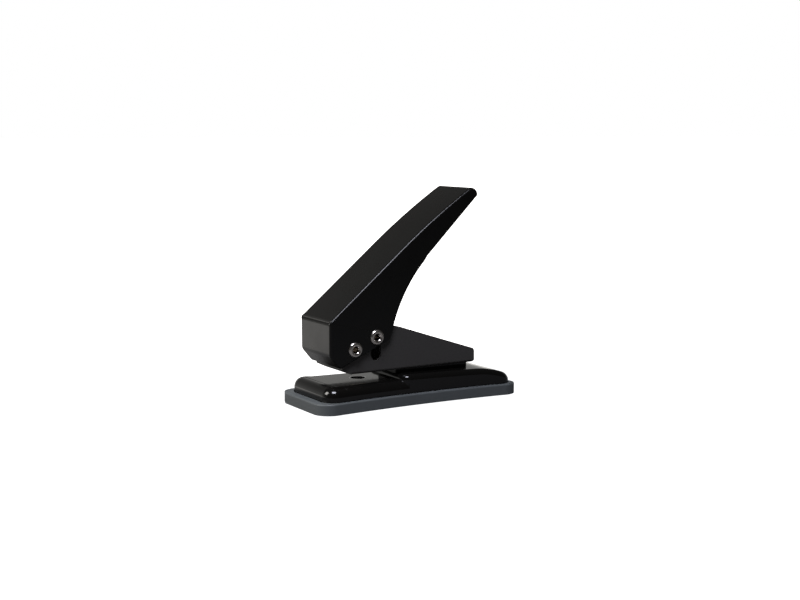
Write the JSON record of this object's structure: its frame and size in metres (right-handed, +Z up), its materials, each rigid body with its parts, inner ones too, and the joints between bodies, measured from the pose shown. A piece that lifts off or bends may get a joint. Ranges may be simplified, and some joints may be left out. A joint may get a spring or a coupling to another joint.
{
  "type": "hole punch",
  "caption": "Desk hole punch with a folded hand lever, channel frame, pressed steel base, spring-returned punch and removable chip tray.",
  "frame": {"origin": "on the bench, below the middle of the chip tray", "axes": "+X from the nose to the rear of the tray, +Y across the punch, +Z up"},
  "size_m": [0.115, 0.0474, 0.1055],
  "materials": {
    "tray_grey": "matte slate grey moulded plastic",
    "gloss_black": "gloss black enamel on pressed steel",
    "satin_black": "satin black powder coat on folded steel",
    "nickel": "bright nickel plate",
    "hard_steel": "ground hardened steel",
    "bush_metal": "turned bush metal",
    "spring_wire": "bright drawn spring wire",
    "nylon": "natural nylon"
  },
  "bodies": {
    "base": {"base_plate": "gloss_black", "die_bush": "hard_steel", "frame_channel": "satin_black", "frame_rivets": "nickel", "guide_bush": "bush_metal", "pivot_sleeve": "hard_steel", "pivot_washers": "nylon", "return_spring": "spring_wire"},
    "lever": {"lever": "satin_black", "pivot_rivet": "nickel", "drive_rivet": "nickel", "drive_sleeve": "hard_steel", "drive_washers": "nylon"},
    "punch": {"punch_pin": "hard_steel", "punch_yoke": "hard_steel", "spring_seat": "nickel"},
    "tray": {"chip_tray": "tray_grey"}
  },
  "joints": [
    {"name": "lever_press", "type": "hinge", "parent": "base", "child": "lever", "pos_m": [-0.0348, 0, 0.0292], "axis": [0, 1, 0], "range_deg": [0, 30], "stiffness_Nm_per_rad": 0.25, "springref_deg": -18.33},
    {"name": "punch_slide", "type": "slide", "parent": "base", "child": "punch", "axis": [0, 0, -1], "range_m": [0, 0.0068], "deforming": ["return_spring"]},
    {"name": "tray_pull", "type": "slide", "parent": "base", "child": "tray", "axis": [0, 0, -1], "range_m": [0, 0.015]}
  ],
  "couplings": [
    {"joint": "punch_slide", "follows": "lever_press", "m_per_rad": 0.01272}
  ]
}
